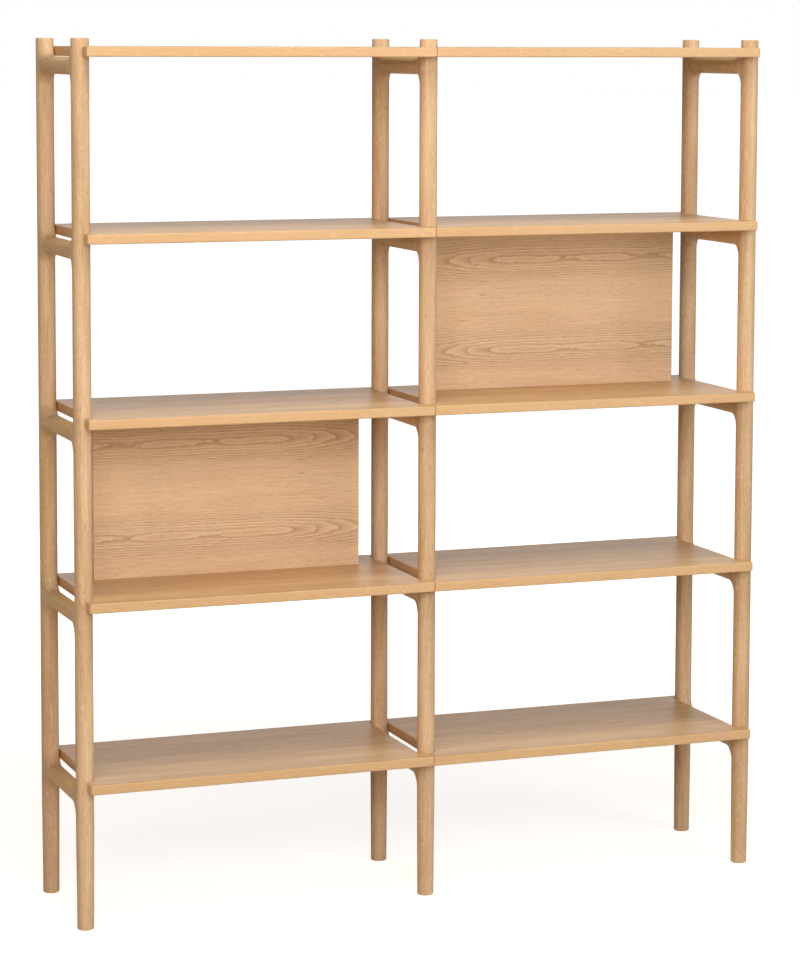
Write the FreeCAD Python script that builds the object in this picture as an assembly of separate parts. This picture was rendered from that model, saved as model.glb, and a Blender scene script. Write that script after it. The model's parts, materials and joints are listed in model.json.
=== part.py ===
import FreeCAD, Part
import math
import os

# Oak shelving unit: three ladder frames of round posts and round rungs carry
# five levels of shelf boards in two bays, and two bays have a back panel.
# Millimetres. X runs along the shelves, -Y is the front and +Z is up.
# The origin is on the floor, under the middle of the shelf boards.

# Layout
ladder_pitch = 800.0            # centre plane of one ladder frame to the next
post_spacing = 310.0            # front post axis to rear post axis
lowest_shelf_top = 332.0        # floor to the top of the lowest shelf
shelf_spacing = 400.0           # top of one shelf to the top of the next
shelf_levels = 5
post_above_shelf = 18.0         # how far the posts stand above the top shelf

# Posts
post_diameter = 40.0
foot_diameter = 37.0            # the legs taper a little to the floor
end_bevel = 2.5                 # at the foot and at the top, as high as it is wide
taper_margin = 13.0             # plain leg between the taper and the lowest branch

# Branches: the stubs on the posts that the rungs are jointed to
branch_reach = 36.0             # post axis to the root of the V-shaped notch in the branch's end
branch_inset = 0.4              # side of the branch inside the side of the post
branch_rise = 30.0              # how far the branch has swept up, and down, where it meets the post's side
branch_hollow = 3               # power of the sweep: 1 is a straight gusset, more is hollower
branch_knees = (0.16, 0.45)     # where the flats along the sweep meet, as shares of its length
branch_sides = 12               # flats around it

# Rungs
rung_sides = 24                 # flats around it
rung_step = 0.2                 # rung surface inside the branch surface
rung_drop = 2.0                 # underside of the shelf to the top of the rung
seam_gap = 0.1                  # glue line between the rung's wedge and the notch, along the rung

# Shelf boards
shelf_thickness = 22.0
front_lip = 35.0                # board in front of the front posts
rear_lip = 15.0                 # board behind the rear posts
shelf_edge_bevel = 1.5
post_clearance = 0.3            # board to the front and the back of the posts
side_clearance = 2.5            # board to the side of the posts
board_joint = 0.25              # board end to the ladder's centre plane

# Back panels
panel_thickness = 16.0
panel_side_gap = 82.5           # ladder centre plane to the panel's edge
panel_inset = 104.0             # rear edge of the shelf to the back of the panel
panel_top_play = 0.3

# Loose tenons between the posts and the ends of the boards
mortise_play = 0.1              # around every tenon, and past its end
shelf_tenon_width = 18.0        # along the board's end
shelf_tenon_thickness = 8.0
shelf_tenon_in_post = 12.0
shelf_tenon_in_board = 28.0

# Loose tenons between the panels and the shelves above and below them
panel_tenon_width = 40.0
panel_tenon_thickness = 6.0
panel_tenon_in_panel = 16.0
panel_tenon_in_shelf = 10.0
panel_tenon_margin = 60.0       # panel's edge to the middle of the outer tenon

# Worked out from the sizes above
post_radius = post_diameter / 2
foot_radius = foot_diameter / 2
shelf_depth = front_lip + post_spacing + post_diameter + rear_lip
front_edge_y = -shelf_depth / 2
rear_edge_y = shelf_depth / 2
front_post_y = front_edge_y + front_lip + post_radius
rear_post_y = front_post_y + post_spacing
shelf_tops = [lowest_shelf_top + k * shelf_spacing for k in range(shelf_levels)]
post_height = shelf_tops[-1] + post_above_shelf
branch_radius = post_radius - branch_inset
rung_radius = branch_radius - rung_step
rung_heights = [z - shelf_thickness - rung_drop - rung_radius for z in shelf_tops]
branch_end = branch_reach + post_radius
taper_top = rung_heights[0] - branch_radius - branch_rise - taper_margin
notch_reach = post_radius + post_clearance
board_inset = post_radius + side_clearance
panel_back_y = rear_edge_y - panel_inset
panel_front_y = panel_back_y - panel_thickness
panel_height = shelf_spacing - shelf_thickness - panel_top_play
panel_width = ladder_pitch - 2 * panel_side_gap
panel_middle_y = (panel_front_y + panel_back_y) / 2

ladders = [("left", -ladder_pitch), ("centre", 0.0), ("right", ladder_pitch)]
bays = [("left_bay", -ladder_pitch / 2), ("right_bay", ladder_pitch / 2)]
panel_floors = {"left_bay": shelf_tops[1], "right_bay": shelf_tops[2]}
posts = [("front", front_post_y, 1), ("rear", rear_post_y, -1)]

UP = FreeCAD.Vector(0, 0, 1)


def vec(x, y, z):
    return FreeCAD.Vector(x, y, z)


def block(low, high):
    """A box between its lowest and its highest corner."""
    size = high - low
    return Part.makeBox(size.x, size.y, size.z, low)


def mortise(low, high):
    """The hole for a tenon between two corners: larger by the play on every side."""
    play = vec(mortise_play, mortise_play, mortise_play)
    return block(low - play, high + play)


def save(name, shapes):
    """Write one node. A group of separate solids is written as a compound."""
    solids = [solid for shape in shapes for solid in shape.Solids]
    result = solids[0] if len(solids) == 1 else Part.makeCompound(solids)
    result.exportStep("parts/" + name + ".step")
    print(name, len(solids), "solid(s), volume", round(result.Volume))


def ring(radius, height):
    """A circle round the post's axis, as a spline: a long slim cone between two takes few facets."""
    return Part.Wire(Part.Circle(vec(0, 0, height), UP, radius).toBSpline().toShape())


def plain_post():
    """The lengths of a post: bevelled foot, tapered leg, shaft and bevelled top."""
    bevel_base = post_height - end_bevel
    return [
        Part.makeCone(foot_radius - end_bevel, foot_radius, end_bevel),
        Part.makeLoft([ring(foot_radius, end_bevel), ring(post_radius, taper_top)], True, True),
        Part.makeCylinder(post_radius, bevel_base - taper_top, vec(0, 0, taper_top)),
        Part.makeCone(post_radius, post_radius - end_bevel, end_bevel, vec(0, 0, bevel_base))]


def oval(half_width, half_height, sides, y):
    """An outline of flats round a line along Y."""
    corners = []
    for side in range(sides):
        turn = 2 * math.pi * side / sides
        corners.append(vec(half_width * math.cos(turn), y, half_height * math.sin(turn)))
    return Part.makePolygon(corners + corners[:1])


def wedge_outline(root, half_height):
    """The V that a rung and a branch meet on, from its upper end to its root and on to its lower end."""
    return [(root + half_height, half_height), (root, 0), (root + half_height, -half_height)]


def prism(outline):
    """A solid that crosses a post along X, from its outline of Y and Z."""
    corners = [vec(-post_radius, y, z) for y, z in outline]
    return Part.Face(Part.makePolygon(corners + corners[:1])).extrude(vec(post_diameter, 0, 0))


def branch_section(share):
    """Outline of the branch at a share of its length out from the post's side. Inside the post it is even."""
    sweep = min(1, 1 - share) ** branch_hollow
    y = post_radius + (branch_end - post_radius) * share
    return oval(branch_radius, branch_radius + branch_rise * sweep, branch_sides, y)


def branch():
    """A stub that sweeps out of a post along +Y, coped to the post and notched for the rung."""
    post_axis_share = -post_radius / (branch_end - post_radius)
    sections = [branch_section(share) for share in (post_axis_share, 0, *branch_knees, 1)]
    stub = Part.makeLoft(sections, True, True)
    seat = Part.makeCylinder(post_radius, 2 * branch_end, vec(0, 0, -branch_end))
    return stub.cut(Part.makeCompound([seat, prism(wedge_outline(branch_reach, post_radius))]))


def branches(x, y, facing):
    """The branches of one post, one for each rung."""
    stubs = []
    for height in rung_heights:
        stub = branch()
        if facing < 0:
            stub.rotate(vec(0, 0, 0), UP, 180)
        stub.translate(vec(x, y, height))
        stubs.append(stub)
    return stubs


def post(x, y, inner_sides):
    """One post with the mortises for the shelf tenons."""
    foot, *lengths = plain_post()
    mortises = [mortise(*shelf_tenon(0, 0, top, side)) for top in shelf_tops for side in inner_sides]
    solid = foot.multiFuse(lengths).cut(Part.makeCompound(mortises)).removeSplitter()
    solid.translate(vec(x, y, 0))
    return solid


def rung(x, z):
    """A round rung that ends in a wedge at each end."""
    front_root = front_post_y + branch_reach
    rear_root = rear_post_y - branch_reach
    section = Part.Face(oval(rung_radius, rung_radius, rung_sides, front_root))
    bar = section.extrude(vec(0, rear_root - front_root, 0))
    front_end = wedge_outline(front_root + seam_gap, post_radius)
    rear_end = [(-y, z) for y, z in reversed(wedge_outline(seam_gap - rear_root, post_radius))]
    solid = bar.common(prism(front_end + rear_end))
    solid.translate(vec(x, 0, z))
    return solid


def shelf_tenon(x, y, top, side):
    """Corners of the loose tenon between the post at x, y and the board on its left or right side."""
    middle = top - shelf_thickness / 2
    ends = sorted([x + side * (post_radius - shelf_tenon_in_post),
                   x + side * (board_inset + shelf_tenon_in_board)])
    low = vec(ends[0], y - shelf_tenon_width / 2, middle - shelf_tenon_thickness / 2)
    high = vec(ends[1], y + shelf_tenon_width / 2, middle + shelf_tenon_thickness / 2)
    return low, high


def shelf_tenons(bay_x, top):
    """Corners of the loose tenons that carry one board, two at each end."""
    tenons = []
    for side in (1, -1):
        ladder_x = bay_x - side * ladder_pitch / 2
        tenons += [shelf_tenon(ladder_x, y, top, side) for name, y, facing in posts]
    return tenons


def panel_tenons(bay_x, floor):
    """Corners of the loose tenons of one panel: a row in the shelf under it and a row in the shelf above."""
    outer = panel_width / 2 - panel_tenon_margin
    ceiling = floor + shelf_spacing - shelf_thickness
    rows = [(floor - panel_tenon_in_shelf, floor + panel_tenon_in_panel),
            (ceiling - panel_tenon_in_panel, ceiling + panel_tenon_in_shelf)]
    front = panel_middle_y - panel_tenon_thickness / 2
    back = panel_middle_y + panel_tenon_thickness / 2
    tenons = []
    for low_z, high_z in rows:
        for middle in (bay_x - outer, bay_x, bay_x + outer):
            low = vec(middle - panel_tenon_width / 2, front, low_z)
            high = vec(middle + panel_tenon_width / 2, back, high_z)
            tenons.append((low, high))
    return tenons


def shelf(bay_x, top, panel_floor):
    """One board: both ends are notched round the posts, so only two lips reach the ladder's middle."""
    half = ladder_pitch / 2 - board_joint
    inner = ladder_pitch / 2 - board_inset
    notch_front = front_post_y - notch_reach
    notch_rear = rear_post_y + notch_reach
    right_side = [
        (half, front_edge_y), (half, notch_front), (inner, notch_front),
        (inner, notch_rear), (half, notch_rear), (half, rear_edge_y)]
    left_side = [(-x, y) for x, y in reversed(right_side)]
    corners = [vec(x, y, 0) for x, y in right_side + left_side]
    outline = Part.makePolygon(corners + corners[:1])
    board = Part.Face(outline).extrude(vec(0, 0, shelf_thickness))
    long_edges = [edge for edge in board.Edges if edge.Length > ladder_pitch / 2]
    board = board.makeChamfer(shelf_edge_bevel, long_edges)
    board.translate(vec(bay_x, 0, top - shelf_thickness))
    tenons = shelf_tenons(bay_x, top)
    if math.isclose(top, panel_floor) or math.isclose(top, panel_floor + shelf_spacing):
        tenons += panel_tenons(bay_x, panel_floor)
    return board.cut(Part.makeCompound([mortise(*corners) for corners in tenons]))


def panel(bay_x, floor):
    """A back panel that stands on one shelf and reaches the next."""
    low = vec(bay_x - panel_width / 2, panel_front_y, floor)
    high = vec(bay_x + panel_width / 2, panel_back_y, floor + panel_height)
    mortises = [mortise(*corners) for corners in panel_tenons(bay_x, floor)]
    return block(low, high).cut(Part.makeCompound(mortises))


os.makedirs("parts", exist_ok=True)

for ladder_name, ladder_x in ladders:
    inner_sides = [side for side in (-1, 1) if abs(ladder_x + side * ladder_pitch / 2) < ladder_pitch]
    for post_name, post_y, facing in posts:
        save(ladder_name + "_" + post_name + "_post", [post(ladder_x, post_y, inner_sides)])
        save(ladder_name + "_" + post_name + "_branches", branches(ladder_x, post_y, facing))
    for level, height in enumerate(rung_heights):
        save(ladder_name + "_rung_" + str(level + 1), [rung(ladder_x, height)])

loose_in_shelves = []
loose_in_panels = []
for bay_name, bay_x in bays:
    panel_floor = panel_floors[bay_name]
    for level, top in enumerate(shelf_tops):
        save(bay_name + "_shelf_" + str(level + 1), [shelf(bay_x, top, panel_floor)])
        loose_in_shelves += shelf_tenons(bay_x, top)
    save(bay_name + "_back_panel", [panel(bay_x, panel_floor)])
    loose_in_panels += panel_tenons(bay_x, panel_floor)
save("shelf_tenons", [block(*corners) for corners in loose_in_shelves])
save("panel_tenons", [block(*corners) for corners in loose_in_panels])
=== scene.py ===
import json
import math

import bmesh
import bpy
from bpy.props import FloatProperty, FloatVectorProperty, IntProperty, PointerProperty
from mathutils import Matrix, Vector


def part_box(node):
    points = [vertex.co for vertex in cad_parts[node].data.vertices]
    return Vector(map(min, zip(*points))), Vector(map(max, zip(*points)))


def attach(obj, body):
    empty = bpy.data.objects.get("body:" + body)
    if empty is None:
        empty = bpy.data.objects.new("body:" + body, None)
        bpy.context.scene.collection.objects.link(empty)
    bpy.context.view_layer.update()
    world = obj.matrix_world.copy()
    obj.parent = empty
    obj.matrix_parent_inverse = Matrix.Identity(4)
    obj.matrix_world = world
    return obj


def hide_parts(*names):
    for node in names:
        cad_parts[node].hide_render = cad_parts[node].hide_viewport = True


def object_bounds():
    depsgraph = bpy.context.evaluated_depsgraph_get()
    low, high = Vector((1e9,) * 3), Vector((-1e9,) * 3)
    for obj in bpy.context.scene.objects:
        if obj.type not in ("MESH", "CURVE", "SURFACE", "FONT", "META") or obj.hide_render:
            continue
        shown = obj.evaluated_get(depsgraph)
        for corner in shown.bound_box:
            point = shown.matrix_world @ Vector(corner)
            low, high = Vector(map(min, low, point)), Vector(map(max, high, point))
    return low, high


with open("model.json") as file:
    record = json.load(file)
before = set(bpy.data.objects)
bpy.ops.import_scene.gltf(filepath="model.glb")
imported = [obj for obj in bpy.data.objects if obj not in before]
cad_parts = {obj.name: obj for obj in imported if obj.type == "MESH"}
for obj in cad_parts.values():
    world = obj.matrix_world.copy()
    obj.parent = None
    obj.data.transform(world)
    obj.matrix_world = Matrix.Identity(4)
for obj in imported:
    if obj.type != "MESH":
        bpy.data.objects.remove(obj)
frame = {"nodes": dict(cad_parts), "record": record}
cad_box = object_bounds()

bl_info = {
    "name": "Oak shelving unit",
    "version": (1, 0, 0),
    "blender": (4, 5, 0),
    "location": "View3D > Sidebar > Shelving",
    "description": "Builds the visible pieces of an oak shelving unit over its CAD frame",
    "category": "Object",
}

LADDERS = ("left", "centre", "right")
BAYS = ("left_bay", "right_bay")
PLACES = ("front", "rear")
LEVELS = range(1, 1 + sum(name.startswith("left_rung_") for name in frame["nodes"]))

post_low, post_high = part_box("left_front_post")
rung_low, rung_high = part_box("left_rung_1")
POST_RADIUS = (post_high.x - post_low.x) / 2
RUNG_RADIUS = (rung_high.x - rung_low.x) / 2


def post_axis(ladder, place):
    """X and Y of a post's axis."""
    low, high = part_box(f"{ladder}_{place}_post")
    return (low.x + high.x) / 2, (low.y + high.y) / 2


def rung_height(ladder, level):
    """Height of a rung's axis in the CAD model."""
    low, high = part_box(f"{ladder}_rung_{level}")
    return (low.z + high.z) / 2


# Settings

class ShelvingSizes(bpy.types.PropertyGroup):
    """Sizes of the turned and rounded forms that lie over the plain CAD pieces."""

    foot_radius: FloatProperty(
        name="Foot radius", description="Radius of a post at the floor",
        default=0.0185, min=0.010, max=POST_RADIUS, unit="LENGTH")
    taper_height: FloatProperty(
        name="Taper height", description="Height above the floor at which a post has its full radius",
        default=0.230, min=0.05, max=0.5, unit="LENGTH")
    end_round: FloatProperty(
        name="End rounding", description="Rounding of the edge round a post's top and foot",
        default=0.0028, min=0.0005, max=0.006, unit="LENGTH")
    branch_radius: FloatProperty(
        name="Branch radius", description="Radius of the branch that a post has for each rung",
        default=0.0196, min=0.015, max=POST_RADIUS, unit="LENGTH")
    branch_sweep: FloatProperty(
        name="Branch sweep", description="How far a branch widens up and down where it leaves its post",
        default=0.030, min=0.010, max=0.045, unit="LENGTH")
    rung_lift: FloatProperty(
        name="Rung lift", description="How much higher rungs and branches sit than their plain CAD pieces",
        default=0.0015, min=0.0, max=0.002, unit="LENGTH")
    seam_ease: FloatProperty(
        name="Seam ease", description="Eased edge on both sides of the seam between a branch and its rung",
        default=0.0006, min=0.0, max=0.002, unit="LENGTH")
    board_round: FloatProperty(
        name="Board rounding", description="Rounding of the outer edges of the shelf boards",
        default=0.0028, min=0.0005, max=0.005, unit="LENGTH")
    notch_round: FloatProperty(
        name="Notch rounding", description="Rounding of the boards' edges beside the posts",
        default=0.0006, min=0.0001, max=0.002, unit="LENGTH")
    panel_round: FloatProperty(
        name="Panel rounding", description="Rounding of the edges of the back panels",
        default=0.0010, min=0.0003, max=0.003, unit="LENGTH")
    post_clearance: FloatProperty(
        name="Post clearance", description="Gap between a board and the front or the back of a post",
        default=0.0003, min=0.0, max=0.002, unit="LENGTH")
    side_clearance: FloatProperty(
        name="Side clearance", description="Gap between a board and the side of a post",
        default=0.0015, min=0.0, max=0.005, unit="LENGTH")
    turning_sides: IntProperty(
        name="Sides of a turning", description="Faces round a post, a branch or a rung",
        default=48, min=16, max=128)


class OakColours(bpy.types.PropertyGroup):
    """Colours of the oiled oak, in linear light."""

    pale: FloatVectorProperty(
        name="Pale wood", description="Plain wood between the marks", subtype="COLOR",
        size=3, default=(0.710, 0.475, 0.278), min=0.0, max=1.0)
    warm: FloatVectorProperty(
        name="Warm wood", description="Darker years, slow streaks and fibres", subtype="COLOR",
        size=3, default=(0.520, 0.308, 0.155), min=0.0, max=1.0)
    pore: FloatVectorProperty(
        name="Pores", description="Open pores, early wood and the darkest flecks", subtype="COLOR",
        size=3, default=(0.270, 0.142, 0.064), min=0.0, max=1.0)
    ray: FloatVectorProperty(
        name="Ray flecks", description="Late wood, pale flecks and worn edges", subtype="COLOR",
        size=3, default=(0.765, 0.580, 0.380), min=0.0, max=1.0)
    blush: FloatVectorProperty(
        name="Blush", description="Pinker wood in slow patches", subtype="COLOR",
        size=3, default=(0.710, 0.425, 0.275), min=0.0, max=1.0)
    lipping: FloatVectorProperty(
        name="Lipping", description="Plain strips along the upright edges of the boards", subtype="COLOR",
        size=3, default=(0.560, 0.340, 0.192), min=0.0, max=1.0)


class StudioSettings(bpy.types.PropertyGroup):
    """The lamps and the camera."""

    key_power: FloatProperty(
        name="Key lamp", description="Power of the large lamp in front and above, in watts",
        default=141.0, min=0.0, max=2000.0)
    right_power: FloatProperty(
        name="Right lamp", description="Power of the large lamp on the right, in watts",
        default=104.0, min=0.0, max=2000.0)
    left_power: FloatProperty(
        name="Left lamp", description="Power of the large warm lamp on the left, in watts",
        default=60.0, min=0.0, max=2000.0)
    top_power: FloatProperty(
        name="Top lamp", description="Power of the large lamp overhead, in watts",
        default=88.0, min=0.0, max=2000.0)
    rear_power: FloatProperty(
        name="Rear lamp", description="Power of the large lamp behind, in watts",
        default=30.0, min=0.0, max=2000.0)
    world_level: FloatProperty(
        name="Surroundings", description="Brightness of the light from all round the object",
        default=0.01, min=0.0, max=2.0)
    lens: FloatProperty(
        name="Lens", description="Focal length of the camera, in millimetres",
        default=113.79, min=20.0, max=300.0)
    shift: FloatProperty(
        name="Vertical shift", description="Vertical shift of the camera, as a share of the picture's height",
        default=-0.1545, min=-0.5, max=0.5)
    yaw: FloatProperty(
        name="Yaw", description="Turn of the camera to the right of straight ahead",
        default=math.radians(20.60), subtype="ANGLE")
    pitch: FloatProperty(
        name="Pitch", description="Tilt of the camera below the horizon",
        default=math.radians(5.49), subtype="ANGLE")
    roll: FloatProperty(
        name="Roll", description="Turn of the camera about its own line of sight",
        default=math.radians(0.18), subtype="ANGLE")
    camera_place: FloatVectorProperty(
        name="Camera place", description="Where the camera stands", subtype="TRANSLATION",
        size=3, default=(-2.438, -6.455, 1.948))


# Meshes

# Steps that each curve of a mesh is drawn in
END_STEPS = 5
SHAFT_STEPS = 8
SWEEP_STEPS = 9
CORNER_STEPS = 6
EDGE_STEPS = 4

# Edges that turn more sharply than this stay sharp in the shading
SHARP_ANGLE = math.radians(38)

# The innermost ring of a post's end, as a share of the radius there
CAP_SHARE = 0.5

# A slab's outer corners, and the flat border inside its roundings, as shares of the widest rounding
CORNER_SHARE = 1.25
BORDER_SHARE = 0.15

# How far the hidden root of a branch goes on into its post
ROOT_DEPTH = 0.0012


def new_piece(name, shape, timber, slot, *replaced):
    """Makes a mesh object that stands for CAD nodes.

    timber says where a point lies in the log: along, across and through the wood. Pieces of a kind are cut
    from different places, so that no two show the same grain.
    """
    mesh = bpy.data.meshes.new(name)
    bmesh.ops.recalc_face_normals(shape, faces=shape.faces)
    shape.to_mesh(mesh)
    shape.free()
    for polygon in mesh.polygons:
        polygon.use_smooth = True
    mesh.set_sharp_from_angle(angle=SHARP_ANGLE)
    grain = mesh.attributes.new("timber", "FLOAT_VECTOR", "POINT")
    for vertex, value in zip(mesh.vertices, grain.data):
        value.vector = timber(vertex.co)
    piece = bpy.data.objects.new(name, mesh)
    bpy.context.scene.collection.objects.link(piece)
    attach(piece, "root")
    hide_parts(*replaced)


def skin(shape, rings):
    """Adds quads between closed rings that have the same number of points, and returns their rows."""
    rows = [[shape.verts.new(point) for point in ring] for ring in rings]
    for lower, upper in zip(rows, rows[1:]):
        for k in range(len(lower)):
            after = (k + 1) % len(lower)
            shape.faces.new((lower[k], lower[after], upper[after], upper[k]))
    return rows


def close_across(shape, row):
    """Closes a ring that is the same left and right by faces that run across it from side to side."""
    count = len(row)
    for k in range(count // 2):
        a, b = row[(k - count // 4) % count], row[(k + 1 - count // 4) % count]
        c, d = row[(-k - 1 - count // 4) % count], row[(-k - count // 4) % count]
        corners = [vertex for n, vertex in enumerate((a, b, c, d)) if vertex not in (a, b, c, d)[:n]]
        if len(corners) > 2:
            shape.faces.new(corners)


def turn_points(sides):
    """Angles round a turning. None lies on the side line, where a branch's upper and lower sweeps meet."""
    return [2 * math.pi * (k + 0.5) / sides for k in range(sides)]


def quarter_turn(steps):
    """Angles from 0 to 90 degrees in equal steps."""
    return [math.pi / 2 * k / steps for k in range(steps + 1)]


def post_profile(sizes, height):
    """Radius and height of each ring of a post, from its foot to its top."""
    foot = sizes.foot_radius
    rounding = sizes.end_round
    taper_top = sizes.taper_height
    shaft_top = height - rounding
    profile = [(foot * CAP_SHARE, 0.0)]
    for turn in quarter_turn(END_STEPS):
        profile.append((foot - rounding * (1 - math.sin(turn)), rounding * (1 - math.cos(turn))))
    profile.append(((foot + POST_RADIUS) / 2, taper_top / 2))
    for k in range(SHAFT_STEPS + 1):
        profile.append((POST_RADIUS, taper_top + (shaft_top - taper_top) * k / SHAFT_STEPS))
    for turn in quarter_turn(END_STEPS)[1:]:
        profile.append((POST_RADIUS - rounding * (1 - math.cos(turn)), shaft_top + rounding * math.sin(turn)))
    profile.append((POST_RADIUS * CAP_SHARE, height))
    return profile


def branch_rings(sizes, reach):
    """Rings of a branch along +Y: from its root in the post, down the hollow sweep, to the V of the seam."""
    radius = sizes.branch_radius
    tall = radius + sizes.branch_sweep
    turns = turn_points(sizes.turning_sides)
    rings = []
    for slope, sunk in [(0.0, ROOT_DEPTH)] + [(slope, 0.0) for slope in quarter_turn(SWEEP_STEPS)]:
        ring = []
        for turn in turns:
            rise = radius * abs(math.sin(turn))
            y = rise + reach * (1 - math.cos(slope)) - sunk
            z = math.copysign(tall - (tall - rise) * math.sin(slope), math.sin(turn))
            ring.append(Vector((radius * math.cos(turn), y, z)))
        rings.append(ring)
    seam = []
    for turn in turns:
        x = (radius - sizes.seam_ease) * math.cos(turn)
        z = (radius - sizes.seam_ease) * math.sin(turn)
        seam.append(Vector((x, reach + abs(z), z)))
    rings.append(seam)
    return rings


def build_post(sizes, ladder, place):
    """A turned post with its branches, which sweep out towards the ladder's middle."""
    name = f"{ladder}_{place}_post"
    branches = f"{ladder}_{place}_branches"
    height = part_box(name)[1].z
    x, y = post_axis(ladder, place)
    reach = max(abs(corner.y - y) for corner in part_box(branches)) - sizes.branch_radius
    shape = bmesh.new()
    turns = turn_points(sizes.turning_sides)
    rings = [[Vector((x + radius * math.cos(turn), y + radius * math.sin(turn), z)) for turn in turns]
             for radius, z in post_profile(sizes, height)]
    rows = skin(shape, rings)
    shape.faces.new(rows[0])
    shape.faces.new(rows[-1])
    inward = Matrix.Rotation(0 if place == "front" else math.pi, 4, "Z")
    for level in LEVELS:
        middle = Vector((x, y, rung_height(ladder, level) + sizes.rung_lift))
        turned = Matrix.Translation(middle) @ inward
        branch = skin(shape, [[turned @ point for point in ring] for ring in branch_rings(sizes, reach)])
        close_across(shape, branch[0])
        close_across(shape, branch[-1])
    number = LADDERS.index(ladder) * 2 + (place == "front")
    along = 1.147 * number
    across = 0.0407 * number
    depth = 0.031

    def timber(point):
        return (point.z + along, point.x - x + across, point.y - y + depth)

    new_piece(f"oak_{name}", shape, timber, "posts", name, branches)


def build_rung(sizes, ladder, level):
    """A round rung whose ends are wedges that fit the seams of its two branches."""
    name = f"{ladder}_rung_{level}"
    low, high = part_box(name)
    centre = (low + high) / 2 + Vector((0, 0, sizes.rung_lift))
    shape = bmesh.new()
    turns = turn_points(sizes.turning_sides)
    ease = sizes.seam_ease
    rings = []
    for end, facing in ((low.y, 1), (high.y, -1)):
        pair = []
        for inset in (ease, 0.0):
            ring = []
            for turn in turns:
                dx = (RUNG_RADIUS - inset) * math.cos(turn)
                dz = (RUNG_RADIUS - inset) * math.sin(turn)
                dy = abs(dz) + ease - inset
                ring.append(Vector((centre.x + dx, end + facing * dy, centre.z + dz)))
            pair.append(ring)
        rings += pair if facing > 0 else pair[::-1]
    rows = skin(shape, rings)
    close_across(shape, rows[0])
    close_across(shape, rows[-1])
    along = 0.53 * level + 1.7 * LADDERS.index(ladder)
    across = 0.013 * along
    depth = 0.029

    def timber(point):
        return (point.y + along, point.x - centre.x + across, point.z - centre.z + depth)

    new_piece(f"oak_{name}", shape, timber, "rungs", name)


def drawn_in(rounding, depth):
    """How far a rounded edge lies inside the side under it, at a depth below the slab's face."""
    if depth >= rounding:
        return 0.0
    return rounding - math.sqrt(rounding ** 2 - (rounding - depth) ** 2)


def slab_ring(corners, roundings, corner_radius, hollow_radius, depth, margin, z):
    """A slab's outline at one height. Each side has its own rounding; outer and inner corners are arcs."""
    ring = []
    count = len(corners)
    for k in range(count):
        corner, ahead, behind = (Vector(corners[(k + n) % count]) for n in (0, 1, -1))
        inward = Vector((corner.y - ahead.y, ahead.x - corner.x)).normalized()
        inward_behind = Vector((behind.y - corner.y, corner.x - behind.x)).normalized()
        inset = drawn_in(roundings[k], depth) + margin
        inset_behind = drawn_in(roundings[k - 1], depth) + margin
        if roundings[k] == roundings[k - 1]:
            is_outer = inward_behind.cross(inward) > 0
            radius = corner_radius if is_outer else -hollow_radius
            centre = corner + (inward + inward_behind) * radius
            for turn in quarter_turn(CORNER_STEPS):
                out = inward_behind * math.cos(turn) + inward * math.sin(turn)
                ring.append((*(centre - out * (radius - inset)), z))
        else:
            ring.append((*(corner + inward * inset + inward_behind * inset_behind), z))
    return ring


def rounded_slab(corners, roundings, low_z, high_z, hollow_radius=0.0):
    """A slab from its outline, given against the clock.

    A narrow flat border inside each rounding keeps the shading of the faces flat.
    """
    largest = max(roundings)
    corner_radius = largest * CORNER_SHARE
    border = largest * BORDER_SHARE
    levels = [(0.0, border)]
    levels += [(largest * (1 - math.cos(turn)), 0.0) for turn in quarter_turn(EDGE_STEPS)]
    levels += [(largest + border, 0.0)]
    outline = (corners, roundings, corner_radius, hollow_radius)
    rings = [slab_ring(*outline, depth, margin, low_z + depth) for depth, margin in levels]
    rings += [slab_ring(*outline, depth, margin, high_z - depth) for depth, margin in reversed(levels)]
    shape = bmesh.new()
    rows = skin(shape, rings)
    shape.faces.new(rows[0][::-1])
    shape.faces.new(rows[-1])
    return shape


def build_board(sizes, bay, level):
    """A shelf board with a slot at each end that hugs the front and the rear post.

    Every other board is turned end for end.
    """
    name = f"{bay}_shelf_{level}"
    low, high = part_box(name)
    ladder = LADDERS[BAYS.index(bay)]
    front_x, front_post_y = post_axis(ladder, "front")
    front_y = front_post_y - POST_RADIUS - sizes.post_clearance
    rear_y = post_axis(ladder, "rear")[1] + POST_RADIUS + sizes.post_clearance
    middle = (low.x + high.x) / 2
    half = (high.x - low.x) / 2
    inner = abs(front_x - middle) - POST_RADIUS - sizes.side_clearance
    right = [(half, low.y), (half, front_y), (inner, front_y),
             (inner, rear_y), (half, rear_y), (half, high.y)]
    corners = [(middle + x, y) for x, y in right] + [(middle - x, y) for x, y in reversed(right)]
    lip = sizes.board_round
    notch = sizes.notch_round
    roundings = [lip, notch, notch, notch, lip, lip] * 2
    shape = rounded_slab(corners, roundings, low.z, high.z, POST_RADIUS + sizes.post_clearance)
    number = level - 1 + len(LEVELS) * BAYS.index(bay)
    turned = 1 if number % 2 == 0 else -1
    along = 2.9 + 1.37 * number
    across = 0.031 * (number % 4)
    depth = 0.0021 * (number % 3)

    def timber(point):
        return (turned * (point.x - middle) + along, point.y + across, high.z - point.z + depth)

    new_piece(f"oak_{name}", shape, timber, "boards", name)


def build_panel(sizes, bay):
    """A back panel. The arches of its figure close towards the middle of the unit."""
    name = f"{bay}_back_panel"
    low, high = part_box(name)
    corners = [(low.x, low.y), (high.x, low.y), (high.x, high.y), (low.x, high.y)]
    shape = rounded_slab(corners, [sizes.panel_round] * len(corners), low.z, high.z)
    middle = (low + high) / 2
    turned = -1 if bay == BAYS[0] else 1
    flare_start = 0.09
    lowest_crown = 0.092

    def timber(point):
        return (turned * (point.x - middle.x) + flare_start,
                point.z - low.z - lowest_crown, point.y - low.y)

    new_piece(f"oak_{name}", shape, timber, "panels", name)


# Materials

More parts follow.
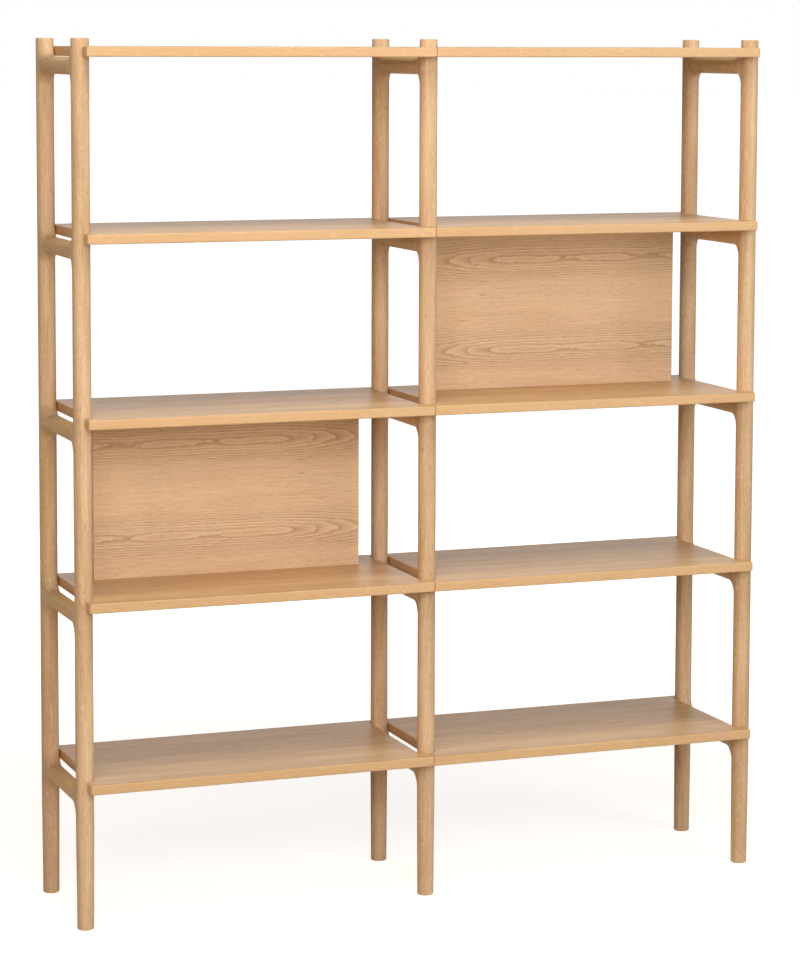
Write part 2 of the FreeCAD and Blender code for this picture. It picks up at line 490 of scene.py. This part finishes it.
# How strongly each mark of the wood covers the colours under it
YEAR_SHARE = 0.60
LIPPING_SHARE = 0.65
BLUSH_SHARE = 0.40
FIBRE_SHARE = 0.40
WORN_SHARE = 0.35

# How much of the year rings is left beside the crown of a leaf
BESIDE_CROWN = 0.15

# How open the pores are in the early wood, on top of how open they are elsewhere
PORES_IN_RINGS = 0.45
PORES_ELSEWHERE = 0.16

# How much the fibres and the pores roughen the oil
FIBRE_ROUGHNESS = 0.14
PORE_ROUGHNESS = 0.12

# How far the fibres stand up, and the early wood sinks, next to the depth of an open pore
FIBRE_HEIGHT = 0.35
EARLY_WOOD_DEPTH = 0.3


class Nodes:
    """Places and links the nodes of one tree."""

    def __init__(self, tree):
        self.tree = tree
        self.column = 0

    def add(self, kind, inputs=None, **settings):
        """A node with its settings. A socket given as an input is linked, and a value is set."""
        node = self.tree.nodes.new(kind)
        self.column += 1
        node.location = (self.column * 180, -(self.column % 5) * 160)
        for key, value in settings.items():
            setattr(node, key, value)
        for key, value in (inputs or {}).items():
            if isinstance(value, bpy.types.NodeSocket):
                self.tree.links.new(value, node.inputs[key])
            else:
                node.inputs[key].default_value = value
        return node

    def place(self, group, inputs):
        """Places a node group and returns its outputs."""
        return self.add("ShaderNodeGroup", inputs, node_tree=group).outputs

    def math(self, operation, *values, clamp=False):
        inputs = dict(enumerate(values))
        return self.add("ShaderNodeMath", inputs, operation=operation, use_clamp=clamp).outputs[0]

    def product(self, result, *others):
        """Multiplies numbers and sockets in their order."""
        for other in others:
            result = self.math("MULTIPLY", result, other)
        return result

    def total(self, result, *others):
        """Adds numbers and sockets in their order."""
        for other in others:
            result = self.math("ADD", result, other)
        return result

    def scale(self, vector, factor):
        inputs = {0: vector, "Scale": factor}
        return self.add("ShaderNodeVectorMath", inputs, operation="SCALE").outputs[0]

    def stretch(self, vector, factors):
        """Multiplies each part of a vector by its own factor."""
        inputs = {0: vector, 1: factors}
        return self.add("ShaderNodeVectorMath", inputs, operation="MULTIPLY").outputs[0]

    def noise(self, vector, detail, roughness=0.5, scale=1.0):
        inputs = {"Vector": vector, "Scale": scale, "Detail": detail, "Roughness": roughness}
        return self.add("ShaderNodeTexNoise", inputs, noise_dimensions="3D").outputs["Fac"]

    def grain(self, vector, per_metre, detail=1.0, roughness=0.5):
        """Noise with so many cells to the metre along, across and through the wood."""
        return self.noise(self.stretch(vector, per_metre), detail, roughness)

    def span(self, value, low, high, to_low=0.0, to_high=1.0):
        """Carries a value smoothly from one range to another, and holds it there outside its own."""
        inputs = {"Value": value, "From Min": low, "From Max": high, "To Min": to_low, "To Max": to_high}
        node = self.add("ShaderNodeMapRange", inputs, clamp=True, interpolation_type="SMOOTHSTEP")
        return node.outputs["Result"]

    def mix(self, share, first, second, blend="MIX"):
        """Lays the second colour over the first by a share."""
        inputs = {0: share, 6: first, 7: second}
        return self.add("ShaderNodeMix", inputs, data_type="RGBA", blend_type=blend).outputs[2]

    def seen(self):
        """1 for what the camera sees, straight on, in a reflection or through glass, and 0 for light."""
        path = self.add("ShaderNodeLightPath").outputs
        direct = self.math("ADD", path["Is Camera Ray"], path["Is Glossy Ray"])
        return self.math("ADD", direct, path["Is Transmission Ray"], clamp=True)


def node_material(name):
    """A material with an empty node tree."""
    material = bpy.data.materials.new(name)
    material.use_nodes = True
    material.node_tree.nodes.clear()
    return material, Nodes(material.node_tree)


def new_group(name, inputs):
    """A shader node group. Its inputs are numbers with their defaults, or vectors, which have None."""
    group = bpy.data.node_groups.new(name, "ShaderNodeTree")
    for label, default in inputs.items():
        kind = "NodeSocketVector" if default is None else "NodeSocketFloat"
        socket = group.interface.new_socket(label, in_out="INPUT", socket_type=kind)
        if default is not None:
            socket.default_value = default
    n = Nodes(group)
    return n, n.add("NodeGroupInput").outputs


def close_group(n, outputs):
    """Gives a node group its outputs, which are all numbers, and returns the group."""
    for label in outputs:
        n.tree.interface.new_socket(label, in_out="OUTPUT", socket_type="NodeSocketFloat")
    n.add("NodeGroupOutput", outputs)
    return n.tree


def oak_figure_group():
    """Year rings of a plank or of a run of veneer leaves: early and late wood, and how dark each year is.

    The rings are cut lengthwise near their middle. That gives long nested islands along the crown of each
    leaf, which close into arches towards the butt of the log, and close, faint lines at its sides.
    """
    n, given = new_group("Oak figure", {
        "Timber": None, "Ring spacing": 0.003, "Pith depth": 0.05, "Swing": 0.02, "Swing length": 0.25,
        "Butt flare": 0.0, "Leaf width": 10.0, "Crown width": 0.05})
    noise_start = (7.3, 0.0, 0.0)
    swing_shape = (1.0, 2.2, 2.2)
    ripple_shape = (26.0, 90.0, 90.0)
    leaf_depth = 0.0007
    ripple_width = 0.0046
    sharpness = 4.0
    crown_fade = 1.7

    along, across, through = n.add("ShaderNodeSeparateXYZ", {0: given["Timber"]}).outputs
    leaf = given["Leaf width"]
    half_leaf = n.product(leaf, 0.5)
    leaf_number = n.math("FLOOR", n.math("DIVIDE", n.total(across, half_leaf), leaf))
    side = n.math("WRAP", across, half_leaf, n.product(half_leaf, -1.0))
    in_leaf = n.add("ShaderNodeCombineXYZ", {0: along, 1: side, 2: through}).outputs[0]
    in_leaf = n.add("ShaderNodeVectorMath", {0: in_leaf, 1: noise_start}, operation="ADD").outputs[0]

    swings_per_metre = n.math("DIVIDE", 1.0, given["Swing length"])
    slow = n.noise(n.scale(n.stretch(in_leaf, swing_shape), swings_per_metre), 2.5)
    swing = n.product(n.math("SUBTRACT", slow, 0.5), n.product(given["Swing"], 2.0))
    towards_butt = n.math("MINIMUM", along, 0.0)
    flare = n.product(towards_butt, towards_butt, given["Butt flare"])
    depth = n.total(through, given["Pith depth"], swing, flare, n.product(leaf_number, leaf_depth))
    radius = n.math("SQRT", n.total(n.product(side, side), n.product(depth, depth)))
    small = n.grain(in_leaf, ripple_shape, 3.5, 0.62)
    ripple = n.product(n.math("SUBTRACT", small, 0.5), ripple_width)

    count = n.math("DIVIDE", n.total(radius, ripple), given["Ring spacing"])
    phase = n.math("FRACT", count)
    early = n.math("POWER", n.math("SUBTRACT", 1.0, phase), sharpness)
    late = n.math("POWER", phase, sharpness)
    year = n.add("ShaderNodeTexWhiteNoise", {"W": n.math("FLOOR", count)}, noise_dimensions="1D")
    crown_width = given["Crown width"]
    crown = n.span(n.math("ABSOLUTE", side), crown_width, n.product(crown_width, crown_fade), 1.0, 0.0)
    return close_group(n, {
        "Early wood": n.product(early, n.span(phase, 0.0, 0.08)),
        "Late wood": n.product(late, n.span(phase, 1.0, 0.96)),
        "Year tone": year.outputs["Value"],
        "Crown": crown})


def oak_fibre_group():
    """Fine fibres, open pores, ray flecks and slow changes of colour, all drawn out along the wood."""
    n, given = new_group("Oak fibres", {"Timber": None, "Fineness": 1.0})
    timber = n.scale(given["Timber"], given["Fineness"])
    return close_group(n, {
        "Fibre": n.grain(timber, (9.0, 260.0, 260.0), 3.0, 0.68),
        "Pores": n.span(n.grain(timber, (42.0, 520.0, 520.0)), 0.55, 0.68),
        "Ray flecks": n.span(n.grain(timber, (48.0, 230.0, 60.0)), 0.62, 0.72),
        "Dark flecks": n.span(n.grain(timber, (26.0, 190.0, 190.0)), 0.63, 0.78),
        "Cloud": n.grain(timber, (1.9, 22.0, 22.0), 2.0, 0.55),
        "Blush": n.grain(timber, (3.1, 9.0, 9.0))})


def edge_group():
    """Where edges are eased and handled: a mask from how sharply the surface turns."""
    n, given = new_group("Handled edges", {"Amount": 1.0})
    surface = n.add("ShaderNodeNewGeometry").outputs
    return close_group(n, {"Edge": n.product(n.span(surface["Pointiness"], 0.52, 0.62), given["Amount"])})


def veneer_share(n, lipping):
    """1 on the flat faces, and less by lipping on upright edges, which are solid strips of plain wood."""
    normal = n.add("ShaderNodeNewGeometry").outputs["True Normal"]
    upward = n.add("ShaderNodeSeparateXYZ", {0: normal}).outputs["Z"]
    return n.span(n.math("ABSOLUTE", upward), 0.3, 0.7, 1.0 - lipping, 1.0)


def oak_layers(n, log, fibres, worn, veneer, figure, streaks, flecks):
    """What is laid over the pale wood, in its order: the name of each colour with its mask.

    The mask of the pores is returned once more beside them, for the relief.
    """
    shown = n.product(n.total(n.product(log["Crown"], 1.0 - BESIDE_CROWN), BESIDE_CROWN), veneer)
    early = n.product(log["Early wood"], shown, figure)
    pores = n.product(fibres["Pores"], n.total(n.product(early, PORES_IN_RINGS), PORES_ELSEWHERE), veneer)
    cloud = n.span(fibres["Cloud"], 0.34, 0.68)
    blush = n.span(fibres["Blush"], 0.52, 0.70)
    fibre = n.span(fibres["Fibre"], 0.32, 0.70)
    layers = (
        ("warm", n.product(log["Year tone"], shown, YEAR_SHARE * figure)),
        ("warm", n.product(cloud, streaks, veneer)),
        ("lipping", n.product(n.math("SUBTRACT", 1.0, veneer), LIPPING_SHARE)),
        ("blush", n.product(blush, BLUSH_SHARE * streaks)),
        ("warm", n.product(fibre, FIBRE_SHARE, veneer)),
        ("ray", n.product(log["Late wood"], shown, figure)),
        ("pore", early),
        ("pore", pores),
        ("ray", n.product(fibres["Ray flecks"], flecks)),
        ("pore", n.product(fibres["Dark flecks"], flecks)),
        ("ray", worn),
    )
    return layers, pores


def oak_material(colours, groups, name, rings, figure, streaks, flecks, tint, smoothest, shine,
                 fineness=1.0, lipping=0.0):
    """Oiled oak. rings are the inputs of the figure group that this piece's cut of the log needs.

    figure is how strongly the year rings show, streaks how much the slow changes of colour do, flecks how
    much the short marks do, and tint multiplies the whole colour. smoothest is the lowest roughness, shine
    the strength of the gloss, fineness how much finer than on a wide board the fibres are, and lipping how
    much of the marks the upright edges lose.
    """
    material, n = node_material(name)
    grain = n.add("ShaderNodeAttribute", attribute_type="GEOMETRY", attribute_name="timber")
    timber = grain.outputs["Vector"]
    log = n.place(groups["figure"], {"Timber": timber, **rings})
    fibres = n.place(groups["fibres"], {"Timber": timber, "Fineness": fineness})
    worn = n.place(groups["edges"], {"Amount": WORN_SHARE})["Edge"]
    veneer = veneer_share(n, lipping)
    layers, pores = oak_layers(n, log, fibres, worn, veneer, figure, streaks, flecks)
    colour = (*colours.pale, 1.0)
    for laid_on, mask in layers:
        colour = n.mix(mask, colour, (*getattr(colours, laid_on), 1.0))
    colour = n.mix(1.0, colour, (*tint, 1.0), "MULTIPLY")
    roughness = n.total(n.product(fibres["Fibre"], FIBRE_ROUGHNESS), smoothest,
                        n.product(fibres["Pores"], PORE_ROUGHNESS))
    relief = n.math("SUBTRACT", n.product(fibres["Fibre"], FIBRE_HEIGHT), pores)
    relief = n.math("SUBTRACT", relief, n.product(log["Early wood"], EARLY_WOOD_DEPTH))
    bump = n.add("ShaderNodeBump", {"Strength": 0.25, "Distance": 0.0004, "Height": relief})
    shader = n.add("ShaderNodeBsdfPrincipled", {
        "Base Color": colour, "Roughness": roughness, "Normal": bump.outputs["Normal"],
        "Specular IOR Level": shine})
    n.add("ShaderNodeOutputMaterial", {"Surface": shader.outputs["BSDF"]})
    return material


def oak_materials(colours):
    """The material of each slot. Boards and panels are veneered in leaves, and the rest is solid."""
    groups = {"figure": oak_figure_group(), "fibres": oak_fibre_group(), "edges": edge_group()}
    board_rings = {"Ring spacing": 0.0036, "Pith depth": 0.034, "Swing": 0.014, "Swing length": 0.50,
                   "Butt flare": 0.0, "Leaf width": 0.205, "Crown width": 0.036}
    panel_rings = {"Ring spacing": 0.0052, "Pith depth": 0.0145, "Swing": 0.0090, "Swing length": 0.19,
                   "Butt flare": 0.34, "Leaf width": 0.212, "Crown width": 0.034}
    post_rings = {"Ring spacing": 0.0036, "Pith depth": 0.066, "Swing": 0.008, "Swing length": 0.40,
                  "Butt flare": 0.0, "Leaf width": 10.0, "Crown width": 1.0}
    rung_rings = {**post_rings, "Ring spacing": 0.0034, "Pith depth": 0.050}
    finishes = {
        "boards": {"name": "oak_boards", "rings": board_rings, "figure": 0.50, "streaks": 0.70,
                   "flecks": 0.18, "tint": (1.04, 1.03, 0.94), "smoothest": 0.30, "shine": 0.28,
                   "lipping": 0.6},
        "panels": {"name": "oak_panels", "rings": panel_rings, "figure": 0.60, "streaks": 0.30,
                   "flecks": 0.34, "tint": (1.15, 1.23, 1.35), "smoothest": 0.42, "shine": 0.20},
        "posts": {"name": "oak_posts", "rings": post_rings, "figure": 0.20, "streaks": 0.85,
                  "flecks": 0.45, "tint": (1.08, 1.16, 1.27), "smoothest": 0.44, "shine": 0.09,
                  "fineness": 1.7},
        "rungs": {"name": "oak_rungs", "rings": rung_rings, "figure": 0.26, "streaks": 0.35,
                  "flecks": 0.25, "tint": (1.04, 1.03, 0.92), "smoothest": 0.46, "shine": 0.10,
                  "fineness": 1.7},
        # The loose tenons' near-black tint is painted shade. It makes them read as the dark, shadowed gap
        # between a board and the side of a post, where they show.
        "loose_tenons": {"name": "oak_tenons", "rings": post_rings, "figure": 0.25, "streaks": 0.30,
                         "flecks": 0.20, "tint": (0.30, 0.28, 0.25), "smoothest": 0.60, "shine": 0.05},
    }
    return {slot: oak_material(colours, groups, **finish) for slot, finish in finishes.items()}


def pieces_of(slot):
    """The pieces and CAD nodes that take their finish from one material slot."""
    nodes = {part["node"] for part in frame["record"]["subparts"] if part["material_slot"] == slot}
    return [piece for piece in bpy.data.objects
            if piece.type == "MESH" and (piece.name in nodes or piece.name.removeprefix("oak_") in nodes)]


# Studio

WHITE = (1.0, 1.0, 1.0, 1.0)

# The lamps are rectangles that face the middle of the object. The rear one shows in no reflections,
# because the board tops would mirror it from the front.
LAMPS = {
    "key": {"size": (3.0, 2.4), "place": (-1.6, -4.8, 2.9), "colour": (1.0, 1.0, 1.0)},
    "right": {"size": (3.0, 3.0), "place": (3.6, -5.2, 1.9), "colour": (1.0, 1.0, 1.0)},
    "left": {"size": (3.0, 3.0), "place": (-5.0, -3.5, 2.6), "colour": (1.0, 0.58, 0.25)},
    "top": {"size": (4.2, 1.6), "place": (-0.1, -1.7, 4.4), "colour": (1.0, 0.98, 0.85)},
    "rear": {"size": (3.0, 2.4), "place": (1.2, 4.8, 1.3), "colour": (1.0, 1.0, 1.0)},
}

FLOOR_HALF_WIDTH = 90.0
FLOOR_CLEARANCE = 0.0002
FLOOR_SPECKLES_PER_METRE = 3.0
FLOOR_COLOURS = ((0.60, 0.54, 0.44, 1.0), (0.62, 0.56, 0.46, 1.0))

# What the camera sees of the floor turns from nearly white to white between these distances from the
# middle of the object
NEARLY_WHITE = 0.80
WHITE_STARTS = 1.2
WHITE_IS_FULL = 3.0


def floor_material():
    """A pale floor with the object's shadow. It looks white away from the object."""
    material, n = node_material("studio_floor")
    place = n.add("ShaderNodeTexCoord").outputs["Object"]
    speckle = n.noise(place, 2.0, scale=FLOOR_SPECKLES_PER_METRE)
    colour = n.mix(n.span(speckle, 0.3, 0.7), *FLOOR_COLOURS)
    shader = n.add("ShaderNodeBsdfPrincipled", {"Base Color": colour, "Roughness": 0.9})
    away = n.add("ShaderNodeVectorMath", {0: place}, operation="LENGTH").outputs["Value"]
    level = n.span(away, WHITE_STARTS, WHITE_IS_FULL, NEARLY_WHITE, 1.0)
    glow = n.add("ShaderNodeEmission", {"Color": WHITE, "Strength": n.product(n.seen(), level)})
    both = n.add("ShaderNodeAddShader", {0: shader.outputs[0], 1: glow.outputs[0]})
    n.add("ShaderNodeOutputMaterial", {"Surface": both.outputs[0]})
    return material


def add_floor(scene):
    """A wide floor just under the feet."""
    shape = bmesh.new()
    bmesh.ops.create_grid(shape, x_segments=1, y_segments=1, size=FLOOR_HALF_WIDTH)
    mesh = bpy.data.meshes.new("studio_floor")
    shape.to_mesh(mesh)
    shape.free()
    mesh.materials.append(floor_material())
    floor = bpy.data.objects.new("studio_floor", mesh)
    scene.collection.objects.link(floor)
    floor.location.z = cad_box[0].z - FLOOR_CLEARANCE


def add_lamps(scene, studio):
    """The soft lamps, each with its power from the settings."""
    middle = (cad_box[0] + cad_box[1]) / 2
    for kind, lamp in LAMPS.items():
        data = bpy.data.lights.new(f"{kind}_lamp", "AREA")
        data.color = lamp["colour"]
        data.shape = "RECTANGLE"
        data.size, data.size_y = lamp["size"]
        data.energy = getattr(studio, f"{kind}_power")
        light = bpy.data.objects.new(f"{kind}_lamp", data)
        scene.collection.objects.link(light)
        light.location = lamp["place"]
        light.rotation_euler = (middle - Vector(lamp["place"])).to_track_quat("-Z", "Y").to_euler()
        light.visible_glossy = kind != "rear"


def add_world(scene, studio):
    """Surroundings that are white to the camera and give the object a little light."""
    world = bpy.data.worlds.new("studio_world")
    scene.world = world
    world.use_nodes = True
    world.node_tree.nodes.clear()
    n = Nodes(world.node_tree)
    level = n.total(n.product(n.seen(), 1.0 - studio.world_level), studio.world_level)
    back = n.add("ShaderNodeBackground", {"Color": WHITE, "Strength": level})
    n.add("ShaderNodeOutputWorld", {"Surface": back.outputs[0]})


def add_camera(scene, studio):
    """The camera, placed and turned as the settings say."""
    data = bpy.data.cameras.new("camera")
    data.lens = studio.lens
    data.shift_y = studio.shift
    data.clip_end = 200.0
    camera = bpy.data.objects.new("camera", data)
    scene.collection.objects.link(camera)
    ahead = Vector((math.sin(studio.yaw) * math.cos(studio.pitch),
                    math.cos(studio.yaw) * math.cos(studio.pitch), -math.sin(studio.pitch)))
    facing = ahead.to_track_quat("-Z", "Y").to_matrix().to_4x4()
    camera.matrix_world = (Matrix.Translation(studio.camera_place) @ facing
                           @ Matrix.Rotation(studio.roll, 4, "Z"))
    scene.camera = camera


# Operators

class SHELVING_OT_posts(bpy.types.Operator):
    """Turn the six posts with their branches"""
    bl_idname = "shelving.posts"
    bl_label = "Posts"

    def execute(self, context):
        for ladder in LADDERS:
            for place in PLACES:
                build_post(context.scene.shelving_sizes, ladder, place)
        return {"FINISHED"}


class SHELVING_OT_rungs(bpy.types.Operator):
    """Make the round rungs of the ladder frames"""
    bl_idname = "shelving.rungs"
    bl_label = "Rungs"

    def execute(self, context):
        for ladder in LADDERS:
            for level in LEVELS:
                build_rung(context.scene.shelving_sizes, ladder, level)
        return {"FINISHED"}


class SHELVING_OT_boards(bpy.types.Operator):
    """Make the shelf boards, notched round the posts"""
    bl_idname = "shelving.boards"
    bl_label = "Boards"

    def execute(self, context):
        for bay in BAYS:
            for level in LEVELS:
                build_board(context.scene.shelving_sizes, bay, level)
        return {"FINISHED"}


class SHELVING_OT_panels(bpy.types.Operator):
    """Make the back panels"""
    bl_idname = "shelving.panels"
    bl_label = "Back panels"

    def execute(self, context):
        for bay in BAYS:
            build_panel(context.scene.shelving_sizes, bay)
        return {"FINISHED"}


class SHELVING_OT_finish(bpy.types.Operator):
    """Give every piece and every CAD node its oak"""
    bl_idname = "shelving.finish"
    bl_label = "Oak finish"

    def execute(self, context):
        for slot, material in oak_materials(context.scene.shelving_colours).items():
            for piece in pieces_of(slot):
                piece.data.materials.clear()
                piece.data.materials.append(material)
        return {"FINISHED"}


class SHELVING_OT_studio(bpy.types.Operator):
    """Set up the floor, the soft light, the white background and the camera"""
    bl_idname = "shelving.studio"
    bl_label = "Studio"

    def execute(self, context):
        scene = context.scene
        add_floor(scene)
        add_lamps(scene, scene.shelving_studio)
        add_world(scene, scene.shelving_studio)
        add_camera(scene, scene.shelving_studio)
        scene.view_settings.view_transform = "Standard"
        return {"FINISHED"}


class SHELVING_PT_tools(bpy.types.Panel):
    """The shelving unit's pieces, in the order that they are made"""
    bl_idname = "SHELVING_PT_tools"
    bl_label = "Shelving unit"
    bl_space_type = "VIEW_3D"
    bl_region_type = "UI"
    bl_category = "Shelving"

    def draw(self, context):
        for operator in OPERATORS:
            self.layout.operator(operator.bl_idname)
        scene = context.scene
        for group in (scene.shelving_sizes, scene.shelving_colours, scene.shelving_studio):
            box = self.layout.box()
            for key in group.bl_rna.properties.keys():
                if key not in ("rna_type", "name"):
                    box.prop(group, key)


OPERATORS = (SHELVING_OT_posts, SHELVING_OT_rungs, SHELVING_OT_boards, SHELVING_OT_panels,
             SHELVING_OT_finish, SHELVING_OT_studio)
CLASSES = (ShelvingSizes, OakColours, StudioSettings, *OPERATORS, SHELVING_PT_tools)


def register():
    for cls in CLASSES:
        bpy.utils.register_class(cls)
    bpy.types.Scene.shelving_sizes = PointerProperty(type=ShelvingSizes)
    bpy.types.Scene.shelving_colours = PointerProperty(type=OakColours)
    bpy.types.Scene.shelving_studio = PointerProperty(type=StudioSettings)


def unregister():
    del bpy.types.Scene.shelving_sizes
    del bpy.types.Scene.shelving_colours
    del bpy.types.Scene.shelving_studio
    for cls in reversed(CLASSES):
        bpy.utils.unregister_class(cls)


def main():
    register()
    bpy.ops.shelving.posts()
    bpy.ops.shelving.rungs()
    bpy.ops.shelving.boards()
    bpy.ops.shelving.panels()
    bpy.ops.shelving.finish()
    bpy.ops.shelving.studio()


if __name__ == "__main__":
    main()
